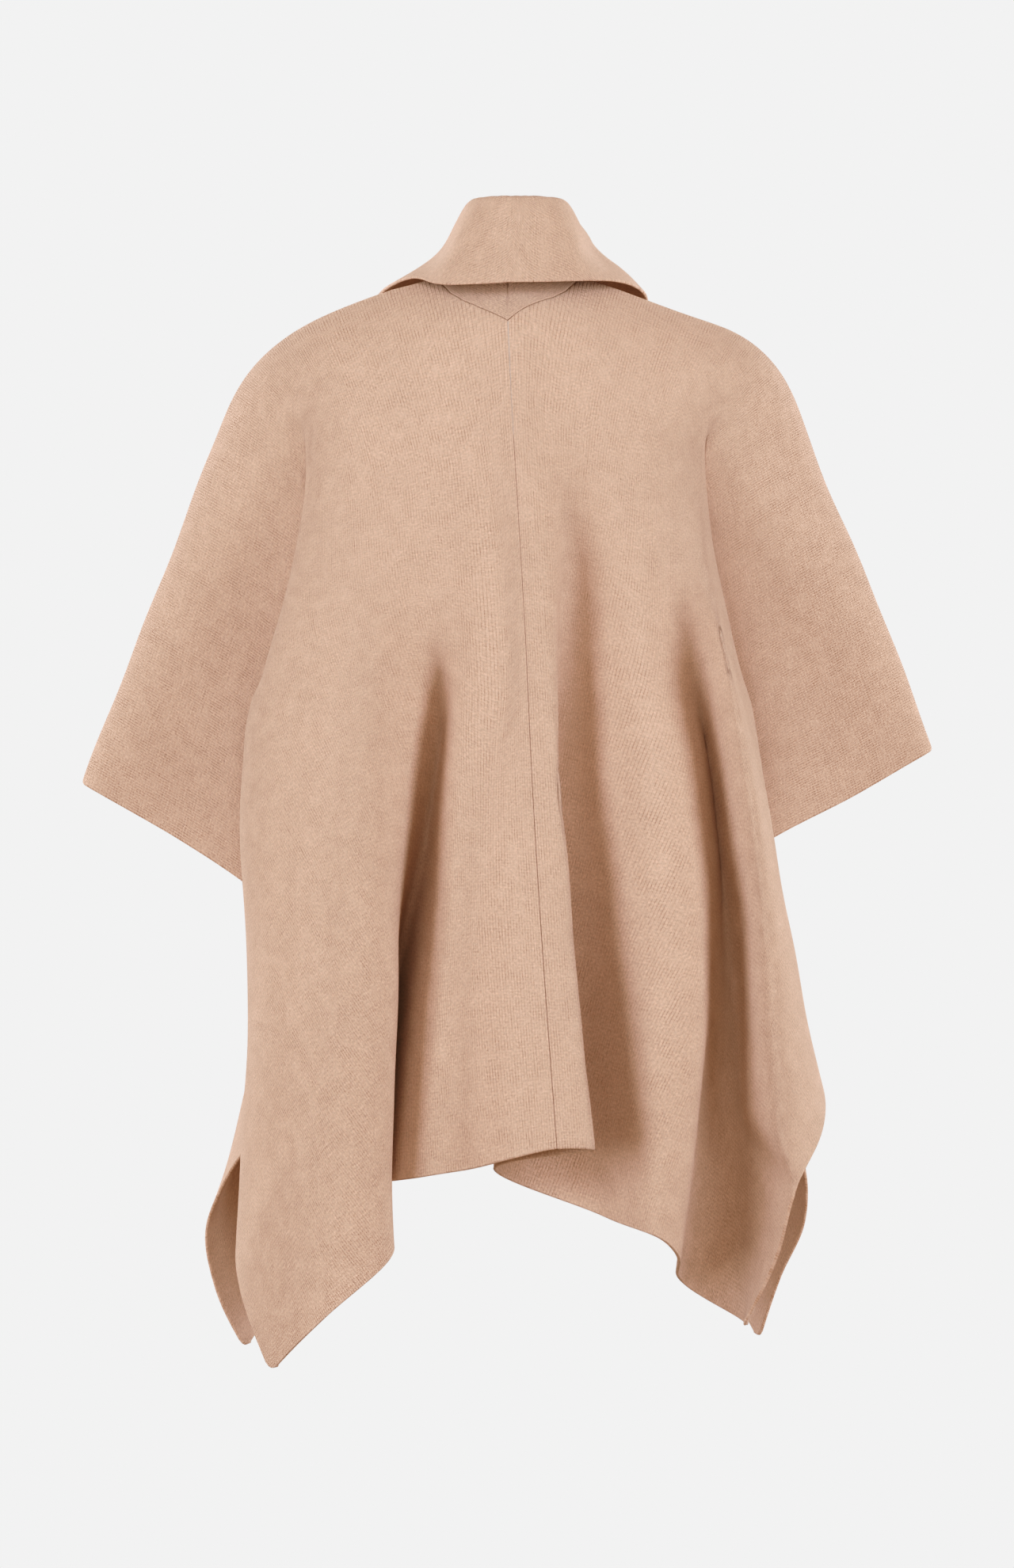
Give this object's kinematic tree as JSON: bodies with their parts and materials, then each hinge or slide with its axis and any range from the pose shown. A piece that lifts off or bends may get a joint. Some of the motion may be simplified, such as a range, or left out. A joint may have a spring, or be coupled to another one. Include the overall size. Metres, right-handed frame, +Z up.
{
  "type": "poncho",
  "caption": "Worn knitted poncho with a fold-over shawl collar, hollow, standing in its draped pose, open at neck, arms and hem",
  "frame": {"origin": "between the shoulders at the base of the neck, in the upright plane over which both halves are folded, inside the hollow", "axes": "+Z up, +Y towards the back, +X towards the wearer's left"},
  "size_m": [0.8054, 0.4617, 1.1022],
  "materials": {
    "knit": "soft, slightly brushed camel knit with a fine nap, matte"
  },
  "bodies": {
    "root": {"left_panel": "knit", "right_panel": "knit", "collar": "knit"}
  },
  "joints": []
}
